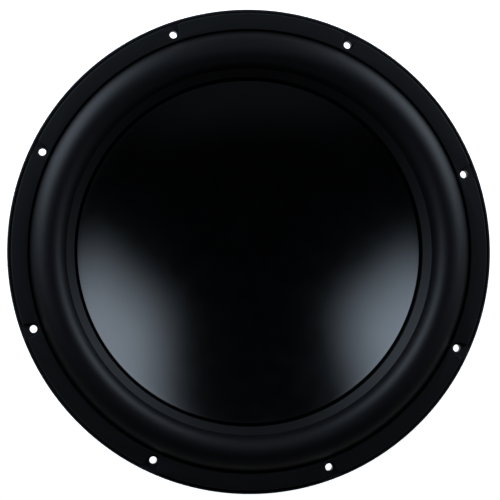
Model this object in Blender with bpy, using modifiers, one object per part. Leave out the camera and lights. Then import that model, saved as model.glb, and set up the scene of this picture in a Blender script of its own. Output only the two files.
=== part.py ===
"""Fifteen-inch car subwoofer driver, modelled as separate sub-parts.

Metres, +Z along the driver's axis from the magnet towards the listener. The origin is the centre of
the face that the driver rests on, under its magnet. +Y passes through one of the mounting holes.
"""

import math

import bmesh
import bpy

MM = 0.001
GAP = 0.3 * MM  # clearance between pieces that touch
OBJECT_NAME = "subwoofer_driver"

# Driving dimensions
FLANGE_RADIUS = 196 * MM
FLANGE_THICKNESS = 7.5 * MM
FLANGE_HEIGHT = 190.5 * MM  # front plane of the flange above the rest face
CUTOUT_RADIUS = 176 * MM  # basket wall that drops through the baffle
HOLE_COUNT = 8
HOLE_CIRCLE_RADIUS = 185.83 * MM
HOLE_RADIUS = 3.0 * MM
GASKET_TOP = FLANGE_HEIGHT + 4.0 * MM
ROLL_CREST_RADIUS = 162.8 * MM
ROLL_CREST_HEIGHT = FLANGE_HEIGHT + 11.8 * MM
ROLL_INNER_ARC = 13.9 * MM  # the roll is tighter on the dish side
ROLL_OUTER_ARC = 17.2 * MM
ROLL_THICKNESS = 1.6 * MM
DISH_SPHERE_RADIUS = 244 * MM
DISH_RIM_RADIUS = 150.2 * MM
LIP_INNER_RADIUS = 142.4 * MM  # inner edge of the surround's lip on the dish
GROOVE_INNER_RADIUS = 140.2 * MM  # groove round the dish, just inside the lip
GROOVE_DEPTH = 2.4 * MM
DISH_BOTTOM = FLANGE_HEIGHT - 59.4 * MM
DISH_THICKNESS = 1.3 * MM
COIL_RADIUS = 38 * MM  # inside of the former
MAGNET_RADIUS = 90 * MM
MAGNET_BORE = 52 * MM
MAGNET_THICKNESS = 20 * MM
PLATE_RADIUS = 87 * MM
SPOKE_COUNT = 6
HALF_SPOKE = 11 * MM
WINDOW_INNER_RADIUS = 105.2 * MM
WINDOW_OUTER_RADIUS = 167 * MM
WINDOW_CORNER = 7 * MM
RIB_WIDTH = 6 * MM
PLATE_SCREW_RADIUS = 2.5 * MM
PLATE_SCREW_CIRCLE = 70 * MM

# Heights of the motor, stacked up from the rest face
BACK_PLATE_BOTTOM = 3.3 * MM
BACK_PLATE_THICKNESS = 14 * MM
BACK_PLATE_TOP = BACK_PLATE_BOTTOM + BACK_PLATE_THICKNESS
LOWER_MAGNET_BOTTOM = BACK_PLATE_TOP + GAP
UPPER_MAGNET_BOTTOM = LOWER_MAGNET_BOTTOM + MAGNET_THICKNESS + GAP
TOP_PLATE_BOTTOM = UPPER_MAGNET_BOTTOM + MAGNET_THICKNESS + GAP
TOP_PLATE_THICKNESS = 12 * MM
TOP_PLATE_TOP = TOP_PLATE_BOTTOM + TOP_PLATE_THICKNESS
BASKET_BASE = TOP_PLATE_TOP + GAP
BASKET_BASE_TOP = BASKET_BASE + 6 * MM
SPIDER_LANDING = BASKET_BASE + 22.7 * MM
SPIDER_HEIGHT = SPIDER_LANDING + GAP
SPIDER_RADIUS = 103 * MM

# Push terminals: one on each side, drawn facing +Y and turned to its place
TERMINAL_WALL = 106.5 * MM  # outer face of the pad on the basket
TERMINAL_BACK = TERMINAL_WALL + GAP
TERMINAL_FRONT = TERMINAL_BACK + 24 * MM
TERMINAL_HALF_WIDTH = 22 * MM
TERMINAL_TOP = SPIDER_LANDING - 3 * MM
TERMINAL_BOTTOM = TERMINAL_TOP - 20 * MM
EAR_HALF_WIDTH = 31 * MM
EAR_THICKNESS = 3 * MM
TERMINAL_SCREW_X = 26.5 * MM
TERMINAL_SCREW_Z = TERMINAL_TOP - 10 * MM
TERMINAL_SCREW_RADIUS = 1.5 * MM
POLE_X = 10.5 * MM  # each pole from the middle of the terminal
BUTTON_Z = TERMINAL_TOP - 6 * MM
BUTTON_BACK = TERMINAL_BACK + 15 * MM
BUTTON_PROUD = 5 * MM  # at rest; it can be pushed in by 4 mm
BUTTON_HALF_WIDTH = 6.1 * MM
BUTTON_HALF_HEIGHT = 3.9 * MM
BUTTON_SLACK = 0.4 * MM
BUTTON_WELL_BACK = TERMINAL_BACK + 7.4 * MM
SPRING_RADIUS = 2.6 * MM
SPRING_WIRE = 0.3 * MM
WIRE_Z = TERMINAL_TOP - 15 * MM
WIRE_HALF_WIDTH = 3.2 * MM
CONTACT_Y = TERMINAL_BACK + 5.2 * MM
CONTACT_THICKNESS = 0.8 * MM
CONTACT_HALF_WIDTH = 2.8 * MM
LEAD_RADIUS = 1.1 * MM

BIG_STEPS = 48  # facets round the large rings
SMALL_STEPS = 24
SCREW_STEPS = 8
BORE_TURN = math.radians(8)  # keeps a bore's corners off the facet edges it cuts

FINISHES = {
    "cast_black": ((0.020, 0.020, 0.022), 0.55, 0.0),
    "gasket_rubber": ((0.022, 0.022, 0.025), 0.80, 0.0),
    "surround_rubber": ((0.020, 0.020, 0.022), 0.50, 0.0),
    "dish_black": ((0.012, 0.012, 0.015), 0.30, 0.0),
    "paper_black": ((0.020, 0.020, 0.020), 0.85, 0.0),
    "former_foil": ((0.060, 0.050, 0.040), 0.40, 0.6),
    "copper": ((0.720, 0.300, 0.140), 0.30, 1.0),
    "spider_cloth": ((0.050, 0.030, 0.020), 0.90, 0.0),
    "plated_steel": ((0.020, 0.020, 0.022), 0.35, 1.0),
    "bright_steel": ((0.550, 0.550, 0.560), 0.30, 1.0),
    "ferrite": ((0.050, 0.050, 0.055), 0.60, 0.0),
    "aluminium": ((0.700, 0.700, 0.720), 0.35, 1.0),
    "boot_rubber": ((0.018, 0.018, 0.018), 0.60, 0.0),
    "terminal_black": ((0.020, 0.020, 0.020), 0.45, 0.0),
    "button_red": ((0.550, 0.020, 0.015), 0.40, 0.0),
    "button_black": ((0.015, 0.015, 0.015), 0.40, 0.0),
    "tinsel": ((0.700, 0.600, 0.420), 0.45, 1.0),
}


# Scene set-up and shape helpers

def clear_scene():
    for leftover in list(bpy.data.objects):
        bpy.data.objects.remove(leftover, do_unlink=True)


def new_collection(name):
    collection = bpy.data.collections.new(name)
    bpy.context.scene.collection.children.link(collection)
    return collection


def finish_material(finish):
    material = bpy.data.materials.get(finish)
    if material is None:
        colour, roughness, metallic = FINISHES[finish]
        material = bpy.data.materials.new(finish)
        material.use_nodes = True
        shader = material.node_tree.nodes["Principled BSDF"]
        shader.inputs["Base Color"].default_value = (*colour, 1.0)
        shader.inputs["Roughness"].default_value = roughness
        shader.inputs["Metallic"].default_value = metallic
    return material


def add_part(name, mesh, finish, parent=None):
    mesh.materials.append(finish_material(finish))
    part = bpy.data.objects.new(name, mesh)
    parts_collection.objects.link(part)
    part.parent = parent
    return part


def add_cutter(name, mesh, parent=None):
    cutter = bpy.data.objects.new(name, mesh)
    cutters_collection.objects.link(cutter)
    cutter.parent = parent
    cutter.hide_render = True
    cutter.display_type = "WIRE"
    return cutter


def add_empty(name, location=(0, 0, 0), turn=0.0, parent=None):
    empty = bpy.data.objects.new(name, None)
    parts_collection.objects.link(empty)
    empty.location = location
    empty.rotation_euler = (0, 0, turn)
    empty.parent = parent
    return empty


def profile_mesh(name, profile, closed):
    """A line of (radius, height) points in the XZ plane, running down its outer side."""
    mesh = bpy.data.meshes.new(name)
    points = [(radius, 0, height) for radius, height in profile]
    edges = [(i, i + 1) for i in range(len(points) - 1)]
    if closed:
        edges.append((len(points) - 1, 0))
    mesh.from_pydata(points, edges, [])
    return mesh


def add_turn(part, steps):
    screw = part.modifiers.new("turn", "SCREW")
    screw.axis = "Z"
    screw.angle = math.tau
    screw.steps = steps
    screw.render_steps = steps
    screw.use_merge_vertices = True
    screw.merge_threshold = 0.00001
    screw.use_smooth_shade = True


def turned_part(name, profile, finish, steps=BIG_STEPS, closed=True, parent=None):
    part = add_part(name, profile_mesh(name, profile, closed), finish, parent)
    add_turn(part, steps)
    return part


def cylinder_mesh(name, radius, bottom, top, steps=12):
    mesh = bpy.data.meshes.new(name)
    shape = bmesh.new()
    depth = top - bottom
    bmesh.ops.create_cone(shape, cap_ends=True, segments=steps, radius1=radius, radius2=radius, depth=depth)
    bmesh.ops.translate(shape, verts=shape.verts, vec=(0, 0, (top + bottom) / 2))
    shape.to_mesh(mesh)
    shape.free()
    return mesh


def box_mesh(name, low, high):
    mesh = bpy.data.meshes.new(name)
    shape = bmesh.new()
    bmesh.ops.create_cube(shape, size=1.0)
    bmesh.ops.scale(shape, verts=shape.verts, vec=[b - a for a, b in zip(low, high)])
    bmesh.ops.translate(shape, verts=shape.verts, vec=[(a + b) / 2 for a, b in zip(low, high)])
    shape.to_mesh(mesh)
    shape.free()
    return mesh


def outline_mesh(name, outline, thickness):
    """A flat outline of (x, y) points, given a thickness to both sides of its plane."""
    curve = bpy.data.curves.new(name, "CURVE")
    curve.dimensions = "2D"
    curve.fill_mode = "BOTH"
    curve.extrude = thickness / 2
    spline = curve.splines.new("POLY")
    spline.points.add(len(outline) - 1)
    for point, (x, y) in zip(spline.points, outline):
        point.co = (x, y, 0, 1)
    spline.use_cyclic_u = True
    drawn = bpy.data.objects.new(name, curve)
    cutters_collection.objects.link(drawn)
    evaluated = drawn.evaluated_get(bpy.context.evaluated_depsgraph_get())
    mesh = bpy.data.meshes.new_from_object(evaluated)
    bpy.data.objects.remove(drawn, do_unlink=True)
    shape = bmesh.new()
    shape.from_mesh(mesh)
    bmesh.ops.remove_doubles(shape, verts=shape.verts, dist=0.00001)
    shape.to_mesh(mesh)
    shape.free()
    return mesh


def wire_part(name, points, radius, finish, parent=None):
    """A round wire through the points, with closed ends."""
    curve = bpy.data.curves.new(name, "CURVE")
    curve.dimensions = "3D"
    curve.bevel_depth = radius
    curve.bevel_resolution = 2
    curve.use_fill_caps = True
    spline = curve.splines.new("POLY")
    spline.points.add(len(points) - 1)
    for point, place in zip(spline.points, points):
        point.co = (*place, 1)
    curve.materials.append(finish_material(finish))
    part = bpy.data.objects.new(name, curve)
    parts_collection.objects.link(part)
    part.parent = parent
    return part


def combine(part, tool, operation):
    boolean = part.modifiers.new(operation.lower(), "BOOLEAN")
    boolean.operation = operation
    boolean.solver = "EXACT"
    boolean.object = tool


def place(thing, location=(0, 0, 0), turn=0.0, tilt=0.0):
    """Moves a part or cutter to its place, tilted about X and then turned about Z."""
    thing.location = location
    thing.rotation_euler = (tilt, 0, turn)
    return thing


def polar(radius, angle):
    return (radius * math.cos(angle), radius * math.sin(angle))


def arc(centre_radius, centre_height, radius, start, end, steps):
    """Points on a circle in a profile, from one angle to another in degrees."""
    points = []
    for i in range(steps + 1):
        angle = math.radians(start + (end - start) * i / steps)
        points.append((centre_radius + radius * math.cos(angle), centre_height + radius * math.sin(angle)))
    return points


def dish_top(radius):
    """Height of the dish's listening side at a radius: part of a sphere."""
    return DISH_BOTTOM + DISH_SPHERE_RADIUS - math.sqrt(DISH_SPHERE_RADIUS ** 2 - radius ** 2)


def dish_underside(radius):
    slope = math.asin(radius / DISH_SPHERE_RADIUS)
    return dish_top(radius) - DISH_THICKNESS / math.cos(slope)


# The frame: basket and front gasket

def basket():
    front = FLANGE_HEIGHT
    rear = FLANGE_HEIGHT - FLANGE_THICKNESS
    profile = [
        (FLANGE_RADIUS - 1.7 * MM, front + 0.9 * MM),
        (FLANGE_RADIUS - 0.5 * MM, front + 0.9 * MM),
        (FLANGE_RADIUS, front + 0.3 * MM),
        (FLANGE_RADIUS, rear + 1.0 * MM),
        (FLANGE_RADIUS - 1.0 * MM, rear),
        (CUTOUT_RADIUS + 0.8 * MM, rear),
        (CUTOUT_RADIUS, rear - 22 * MM),
        (172 * MM, front - 34 * MM),
        (108 * MM, front - 98 * MM),
        (104.5 * MM, front - 103 * MM),
        (104.5 * MM, front - 108 * MM),
        (95 * MM, BASKET_BASE),
        (46 * MM, BASKET_BASE),
        (46 * MM, BASKET_BASE_TOP),
        (88 * MM, BASKET_BASE_TOP),
        (94 * MM, BASKET_BASE_TOP + 6 * MM),
        (94 * MM, SPIDER_LANDING),
        (104 * MM, SPIDER_LANDING),
        (168 * MM, front - 29 * MM),
        (172.5 * MM, front - 20 * MM),
        (172.5 * MM, front - 1.8 * MM),
        (182.3 * MM, front - 1.8 * MM),
        (182.3 * MM, front),
        (FLANGE_RADIUS - 2.2 * MM, front),
    ]
    part = turned_part("basket", profile, "cast_black")
    for i in range(SPOKE_COUNT):
        rib = add_cutter(f"spoke_rib_{i}", spoke_rib_mesh())
        combine(part, place(rib, turn=math.tau * i / SPOKE_COUNT, tilt=math.pi / 2), "UNION")
    for frame in terminal_frames:
        pad_low = (-32 * MM, 97 * MM, BASKET_BASE + 5 * MM)
        pad_high = (32 * MM, TERMINAL_WALL, SPIDER_LANDING - 2 * MM)
        pad = add_cutter("terminal_pad", box_mesh("terminal_pad", pad_low, pad_high), frame)
        combine(part, pad, "UNION")
    for i in range(SPOKE_COUNT):
        window = add_cutter(f"window_{i}", window_mesh())
        turn = math.tau * (i + 0.5) / SPOKE_COUNT
        combine(part, place(window, (0, 0, front - 59 * MM), turn), "DIFFERENCE")
    drill_basket(part)
    return part


def spoke_rib_mesh():
    """A stiffening rib down the outside of one spoke, drawn flat."""
    front = FLANGE_HEIGHT
    outline = [
        (170 * MM, front - 26 * MM),
        (174.5 * MM, front - 28 * MM),
        (174.5 * MM, front - 41 * MM),
        (113 * MM, front - 103 * MM),
        (96 * MM, front - 117.5 * MM),
        (96 * MM, front - 110 * MM),
        (106 * MM, front - 96.5 * MM),
        (168 * MM, front - 34 * MM),
    ]
    return outline_mesh("spoke_rib", outline, RIB_WIDTH)


def window_mesh():
    """The open space between two spokes: a plan outline with its corners cut, as tall as the cone wall."""
    arc_steps = 6
    half_sector = math.pi / SPOKE_COUNT
    outline = []
    for radius, inward, side in ((WINDOW_INNER_RADIUS, 1, 1), (WINDOW_OUTER_RADIUS, -1, -1)):
        flank = radius + inward * WINDOW_CORNER
        flank_angle = half_sector - math.asin(HALF_SPOKE / flank)
        arc_angle = half_sector - math.asin((HALF_SPOKE + WINDOW_CORNER) / flank)
        outline.append(polar(flank, side * flank_angle))
        for i in range(arc_steps + 1):
            outline.append(polar(radius, side * arc_angle * (1 - 2 * i / arc_steps)))
        outline.append(polar(flank, -side * flank_angle))
    return outline_mesh("window", outline, 79 * MM)


def drill_basket(part):
    for i in range(HOLE_COUNT):
        mesh = cylinder_mesh("flange_hole", HOLE_RADIUS, -12 * MM, 8 * MM)
        centre = (*polar(HOLE_CIRCLE_RADIUS, math.tau * i / HOLE_COUNT), FLANGE_HEIGHT)
        combine(part, place(add_cutter(f"flange_hole_{i}", mesh), centre, BORE_TURN), "DIFFERENCE")
    for i in range(SPOKE_COUNT):
        mesh = cylinder_mesh("plate_hole", PLATE_SCREW_RADIUS + GAP, -2 * MM, 8 * MM)
        centre = (*plate_screw_centre(i), BASKET_BASE)
        combine(part, place(add_cutter(f"plate_hole_{i}", mesh), centre, BORE_TURN), "DIFFERENCE")
    for frame in terminal_frames:
        drill_for_terminal(part, frame)


def drill_for_terminal(part, frame):
    """Two bores along Y, through the housing's ears and into the basket's pad."""
    for x in (-TERMINAL_SCREW_X, TERMINAL_SCREW_X):
        mesh = cylinder_mesh("terminal_bore", TERMINAL_SCREW_RADIUS + GAP, -8.5 * MM, 6 * MM)
        bore = add_cutter("terminal_bore", mesh, frame)
        combine(part, place(bore, (x, TERMINAL_BACK, TERMINAL_SCREW_Z), tilt=-math.pi / 2), "DIFFERENCE")


def front_gasket():
    bottom = FLANGE_HEIGHT + GAP
    profile = [
        (179.5 * MM, GASKET_TOP),
        (191.2 * MM, GASKET_TOP),
        (192.6 * MM, GASKET_TOP - 1.2 * MM),
        (192.6 * MM, bottom),
        (179.5 * MM, bottom),
    ]
    part = turned_part("front_gasket", profile, "gasket_rubber")
    for i in range(HOLE_COUNT):
        notch = add_cutter(f"gasket_notch_{i}", notch_mesh())
        turn = math.tau * i / HOLE_COUNT
        combine(part, place(notch, (0, 0, GASKET_TOP), turn), "DIFFERENCE")
    return part


def notch_mesh():
    """Round behind the hole, with straight sides that flare a little towards the rim."""
    round_radius = 4.4 * MM
    half_mouth = 7 * MM
    arc_steps = 6
    outline = []
    for i in range(arc_steps + 1):
        x, y = polar(round_radius, math.pi / 2 + math.pi * i / arc_steps)
        outline.append((HOLE_CIRCLE_RADIUS + x, y))
    outline.append((FLANGE_RADIUS, -half_mouth))
    outline.append((FLANGE_RADIUS, half_mouth))
    return outline_mesh("gasket_notch", outline, 12 * MM)


# The moving system: surround, dish, back cone, former, coil and spider

def surround():
    front = FLANGE_HEIGHT
    inner_arc_height = ROLL_CREST_HEIGHT - ROLL_INNER_ARC
    outer_arc_height = ROLL_CREST_HEIGHT - ROLL_OUTER_ARC
    profile = [
        (182 * MM, front),
        (182 * MM, front - ROLL_THICKNESS),
        (ROLL_CREST_RADIUS + ROLL_OUTER_ARC - 3.4 * MM, front - ROLL_THICKNESS),
    ]
    profile += arc(ROLL_CREST_RADIUS, outer_arc_height, ROLL_OUTER_ARC - ROLL_THICKNESS, 33, 90, 3)
    profile += arc(ROLL_CREST_RADIUS, inner_arc_height, ROLL_INNER_ARC - ROLL_THICKNESS, 110, 180, 3)
    profile += [
        (149.2 * MM, dish_top(149.2 * MM) + GAP),
        (LIP_INNER_RADIUS, dish_top(LIP_INNER_RADIUS) + GAP),
        (LIP_INNER_RADIUS, front - 11.1 * MM),
        (148.8 * MM, front - 4.8 * MM),
    ]
    profile += arc(ROLL_CREST_RADIUS, inner_arc_height, ROLL_INNER_ARC, 178, 90, 4)
    profile += arc(ROLL_CREST_RADIUS, outer_arc_height, ROLL_OUTER_ARC, 71, 29, 3)
    profile.append((178.2 * MM, front))
    return turned_part("surround", profile, "surround_rubber")


def dish_cone():
    bowl = [GROOVE_INNER_RADIUS * i / 6 for i in range(7)]
    outer_side = GROOVE_INNER_RADIUS + 2.4 * MM
    groove_bottom = dish_top(GROOVE_INNER_RADIUS) - GROOVE_DEPTH
    profile = [(radius, dish_top(radius)) for radius in bowl]
    profile += [
        (GROOVE_INNER_RADIUS + 0.2 * MM, groove_bottom),
        (outer_side, groove_bottom),
        (outer_side + 0.4 * MM, dish_top(outer_side + 0.4 * MM)),
        (DISH_RIM_RADIUS, dish_top(DISH_RIM_RADIUS)),
        (DISH_RIM_RADIUS, dish_underside(DISH_RIM_RADIUS)),
        (outer_side + 1.6 * MM, dish_underside(outer_side + 1.6 * MM)),
        (outer_side + 1.2 * MM, groove_bottom - DISH_THICKNESS),
        (GROOVE_INNER_RADIUS - 1 * MM, groove_bottom - DISH_THICKNESS),
        (GROOVE_INNER_RADIUS - 1.4 * MM, dish_underside(GROOVE_INNER_RADIUS - 1.4 * MM)),
    ]
    profile += [(radius, dish_underside(radius)) for radius in reversed(bowl[:-1])]
    return turned_part("dish_cone", profile, "dish_black", closed=False, parent=cone_axis)


def back_cone():
    wall = 0.9 * MM
    neck_radius = 39.8 * MM
    neck = FLANGE_HEIGHT - 88 * MM
    lip_inner = 113 * MM
    lip_outer = 118 * MM
    profile = [
        (lip_outer, dish_underside(lip_outer) - GAP),
        (lip_outer, dish_underside(lip_outer) - GAP - wall),
        (lip_inner, dish_underside(lip_inner) - GAP - wall * 1.4),
        (neck_radius, neck),
        (neck_radius, neck + wall * 1.4),
        (lip_inner, dish_underside(lip_inner) - GAP),
    ]
    return turned_part("back_cone", profile, "paper_black", parent=cone_axis)


def coil_former():
    wall = 0.5 * MM
    top = dish_underside(COIL_RADIUS) - GAP
    bottom = TOP_PLATE_BOTTOM - 15 * MM
    outside = COIL_RADIUS + wall
    profile = [(outside, top), (outside, bottom), (COIL_RADIUS, bottom), (COIL_RADIUS, top)]
    return turned_part("coil_former", profile, "former_foil", SMALL_STEPS, parent=cone_axis)


def former_collar():
    inside = COIL_RADIUS + 0.5 * MM + GAP
    outside = inside + 0.6 * MM
    top = FLANGE_HEIGHT - 81 * MM
    bottom = SPIDER_HEIGHT - 3 * MM
    profile = [(outside, top), (outside, bottom), (inside, bottom), (inside, top)]
    return turned_part("former_collar", profile, "paper_black", SMALL_STEPS, parent=cone_axis)


def voice_coil():
    inside = COIL_RADIUS + 0.5 * MM + GAP
    outside = inside + 1.5 * MM
    middle = TOP_PLATE_BOTTOM + TOP_PLATE_THICKNESS / 2
    top = middle + 18.5 * MM
    bottom = middle - 18.5 * MM
    profile = [(outside, top), (outside, bottom), (inside, bottom), (inside, top)]
    return turned_part("voice_coil", profile, "copper", SMALL_STEPS, parent=cone_axis)


def spider():
    inner = 39.8 * MM
    rolls_start = 45 * MM
    rolls_end = 94 * MM
    wave = 2.2 * MM
    thickness = 1.0 * MM
    turns = 4
    middle = SPIDER_HEIGHT + thickness / 2
    points = [(SPIDER_RADIUS, middle)]
    for i in range(2 * turns + 1):
        radius = rolls_end - (rolls_end - rolls_start) * i / (2 * turns)
        swing = 0 if i in (0, 2 * turns) else wave * (1 if i % 2 else -1)
        points.append((radius, middle + swing))
    points.append((inner, middle))
    top = [(radius, height + thickness / 2) for radius, height in points]
    bottom = [(radius, height - thickness / 2) for radius, height in points]
    return turned_part("spider", bottom + top[::-1], "spider_cloth", SMALL_STEPS)


# The motor

def ring_profile(outside, inside, bottom, top, chamfer):
    """A square ring with its two outer corners chamfered."""
    return [
        (outside - chamfer, top),
        (outside, top - chamfer),
        (outside, bottom + chamfer),
        (outside - chamfer, bottom),
        (inside, bottom),
        (inside, top),
    ]


def top_plate():
    inside = COIL_RADIUS + 3.1 * MM
    profile = ring_profile(PLATE_RADIUS, inside, TOP_PLATE_BOTTOM, TOP_PLATE_TOP, 0.8 * MM)
    part = turned_part("top_plate", profile, "plated_steel")
    for i in range(SPOKE_COUNT):
        mesh = cylinder_mesh("plate_thread", PLATE_SCREW_RADIUS + GAP, -10 * MM, 2 * MM)
        centre = (*plate_screw_centre(i), TOP_PLATE_TOP)
        combine(part, place(add_cutter(f"plate_thread_{i}", mesh), centre, BORE_TURN), "DIFFERENCE")
    return part


def magnet(name, bottom):
    profile = ring_profile(MAGNET_RADIUS, MAGNET_BORE, bottom, bottom + MAGNET_THICKNESS, 1.5 * MM)
    return turned_part(name, profile, "ferrite")


def yoke():
    pole = COIL_RADIUS - 0.7 * MM
    pole_top = TOP_PLATE_TOP + 2.5 * MM
    vent = 12 * MM
    screen_seat = 14 * MM
    profile = [
        (pole - 0.8 * MM, pole_top),
        (pole, pole_top - 0.8 * MM),
        (pole, BACK_PLATE_TOP),
        (PLATE_RADIUS - 0.8 * MM, BACK_PLATE_TOP),
        (PLATE_RADIUS, BACK_PLATE_TOP - 0.8 * MM),
        (PLATE_RADIUS, BACK_PLATE_BOTTOM + 0.8 * MM),
        (PLATE_RADIUS - 0.8 * MM, BACK_PLATE_BOTTOM),
        (screen_seat, BACK_PLATE_BOTTOM),
        (screen_seat, BACK_PLATE_BOTTOM + 2 * MM),
        (vent, BACK_PLATE_BOTTOM + 2 * MM),
        (vent, pole_top - 8 * MM),
        (vent + 5 * MM, pole_top),
    ]
    return turned_part("yoke", profile, "plated_steel", SMALL_STEPS)


def shorting_ring():
    inside = COIL_RADIUS - 0.7 * MM + GAP
    profile = ring_profile(50 * MM, inside, BACK_PLATE_TOP + GAP, BACK_PLATE_TOP + 8 * MM, 0.8 * MM)
    return turned_part("shorting_ring", profile, "aluminium", SMALL_STEPS)


def vent_screen():
    bottom = BACK_PLATE_BOTTOM + 0.6 * MM
    mesh = cylinder_mesh("vent_screen", 13.6 * MM, bottom, bottom + 1.0 * MM, SMALL_STEPS)
    return add_part("vent_screen", mesh, "bright_steel")


def magnet_boot():
    top = TOP_PLATE_TOP - GAP
    shoulder = TOP_PLATE_BOTTOM
    outside = 95 * MM
    profile = [
        (outside - 4 * MM, top),
        (outside - 1.2 * MM, top - 1.6 * MM),
        (outside, top - 6 * MM),
        (outside, 5 * MM),
        (outside - 1.4 * MM, 1.4 * MM),
        (outside - 5 * MM, 0),
        (20 * MM, 0),
        (20 * MM, BACK_PLATE_BOTTOM - GAP),
        (PLATE_RADIUS + GAP, BACK_PLATE_BOTTOM - GAP),
        (PLATE_RADIUS + GAP, BACK_PLATE_TOP),
        (MAGNET_RADIUS + GAP, BACK_PLATE_TOP),
        (MAGNET_RADIUS + GAP, shoulder),
        (PLATE_RADIUS + GAP, shoulder),
        (PLATE_RADIUS + GAP, top),
    ]
    return turned_part("magnet_boot", profile, "boot_rubber")


def plate_screw_centre(index):
    return polar(PLATE_SCREW_CIRCLE, math.tau * (index + 0.5) / SPOKE_COUNT)


def pan_screw_profile(head_radius, head_height, shank_radius, length):
    return [
        (0, head_height),
        (head_radius * 0.7, head_height),
        (head_radius, head_height * 0.4),
        (head_radius, 0),
        (shank_radius, 0),
        (shank_radius, -length),
        (0, -length),
    ]


def plate_screw(index):
    profile = pan_screw_profile(4.6 * MM, 3.0 * MM, PLATE_SCREW_RADIUS, 14 * MM)
    name = f"plate_screw_{index + 1}"
    part = turned_part(name, profile, "bright_steel", SCREW_STEPS, closed=False)
    return place(part, (*plate_screw_centre(index), BASKET_BASE_TOP + GAP))


# Push terminals

def terminal_housing(side, frame):
    low = (-TERMINAL_HALF_WIDTH, TERMINAL_BACK, TERMINAL_BOTTOM)
    high = (TERMINAL_HALF_WIDTH, TERMINAL_FRONT, TERMINAL_TOP)
    name = f"terminal_{side}_housing"
    part = add_part(name, box_mesh(name, low, high), "terminal_black", frame)
    ear_low = (-EAR_HALF_WIDTH, TERMINAL_BACK, TERMINAL_BOTTOM + 4 * MM)
    ear_high = (EAR_HALF_WIDTH, TERMINAL_BACK + EAR_THICKNESS, TERMINAL_TOP - 4 * MM)
    combine(part, add_cutter("ears", box_mesh("ears", ear_low, ear_high), frame), "UNION")
    for x in (-POLE_X, POLE_X):
        for well_low, well_high in terminal_wells(x):
            combine(part, add_cutter("well", box_mesh("well", well_low, well_high), frame), "DIFFERENCE")
    drill_for_terminal(part, frame)
    return part


def terminal_wells(x):
    """Corners of one pole's button well, wire entry and contact slot."""
    through = TERMINAL_FRONT + 1 * MM
    half_button = BUTTON_HALF_WIDTH + BUTTON_SLACK
    half_slot = CONTACT_HALF_WIDTH + 0.5 * MM
    button = (
        (x - half_button, BUTTON_WELL_BACK, BUTTON_Z - BUTTON_HALF_HEIGHT - BUTTON_SLACK),
        (x + half_button, through, BUTTON_Z + BUTTON_HALF_HEIGHT + BUTTON_SLACK),
    )
    wire = (
        (x - WIRE_HALF_WIDTH, CONTACT_Y - 0.4 * MM, WIRE_Z - WIRE_HALF_WIDTH),
        (x + WIRE_HALF_WIDTH, through, WIRE_Z + WIRE_HALF_WIDTH),
    )
    contact = (
        (x - half_slot, CONTACT_Y - 0.4 * MM, WIRE_Z - WIRE_HALF_WIDTH),
        (x + half_slot, CONTACT_Y + CONTACT_THICKNESS + 0.4 * MM, TERMINAL_TOP + 1 * MM),
    )
    return (button, wire, contact)


def terminal_button(side, pole, x, frame):
    length = TERMINAL_FRONT + BUTTON_PROUD - BUTTON_BACK
    name = f"terminal_{side}_button_{pole}"
    low = (-BUTTON_HALF_WIDTH, 0, -BUTTON_HALF_HEIGHT)
    high = (BUTTON_HALF_WIDTH, length, BUTTON_HALF_HEIGHT)
    part = add_part(name, box_mesh(name, low, high), f"button_{pole}", frame)
    edge = part.modifiers.new("edge", "BEVEL")
    edge.width = 0.6 * MM
    edge.segments = 1
    return place(part, (x, BUTTON_BACK, BUTTON_Z))


def terminal_spring(side, pole, x, frame):
    turns = 3
    steps_a_turn = 5
    start = BUTTON_WELL_BACK + SPRING_WIRE + GAP
    length = BUTTON_BACK - SPRING_WIRE - GAP - start
    points = []
    for i in range(turns * steps_a_turn + 1):
        across, up = polar(SPRING_RADIUS, math.tau * i / steps_a_turn)
        points.append((x + across, start + length * i / (turns * steps_a_turn), BUTTON_Z + up))
    return wire_part(f"terminal_{side}_spring_{pole}", points, SPRING_WIRE, "bright_steel", frame)


def terminal_contact(side, pole, x, frame):
    low = (x - CONTACT_HALF_WIDTH, CONTACT_Y, WIRE_Z - CONTACT_HALF_WIDTH)
    high = (x + CONTACT_HALF_WIDTH, CONTACT_Y + CONTACT_THICKNESS, TERMINAL_TOP + 5 * MM)
    name = f"terminal_{side}_contact_{pole}"
    return add_part(name, box_mesh(name, low, high), "copper", frame)


def terminal_screw(side, index, x, frame):
    profile = pan_screw_profile(2.9 * MM, 2.0 * MM, TERMINAL_SCREW_RADIUS, 9 * MM)
    name = f"terminal_{side}_screw_{index}"
    part = turned_part(name, profile, "bright_steel", SCREW_STEPS, closed=False, parent=frame)
    head = TERMINAL_BACK + EAR_THICKNESS + GAP
    return place(part, (x, head, TERMINAL_SCREW_Z), tilt=-math.pi / 2)


def tinsel_lead(side, pole, x, frame):
    """From the contact's tag, over the spider, to the collar."""
    inward = 1 if x > 0 else -1
    tag = CONTACT_Y - 1.4 * MM
    high = SPIDER_HEIGHT
    route = [
        (x, tag, TERMINAL_TOP + 1.6 * MM),
        (x, tag, TERMINAL_TOP + 5.5 * MM),
        (x, tag - 4 * MM, high + 8 * MM),
        (x - 0.4 * MM * inward, 98 * MM, high + 11 * MM),
        (x - 1 * MM * inward, 90 * MM, high + 11 * MM),
        (x - 1.8 * MM * inward, 80 * MM, high + 9 * MM),
        (x - 2.6 * MM * inward, 70 * MM, high + 7 * MM),
        (x - 3.2 * MM * inward, 60 * MM, high + 5.8 * MM),
        (x - 3.8 * MM * inward, 50 * MM, high + 5.2 * MM),
        (x - 4.3 * MM * inward, 41.6 * MM, high + 5 * MM),
    ]
    return wire_part(f"tinsel_lead_{side}_{pole}", route, LEAD_RADIUS, "tinsel", frame)


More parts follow.
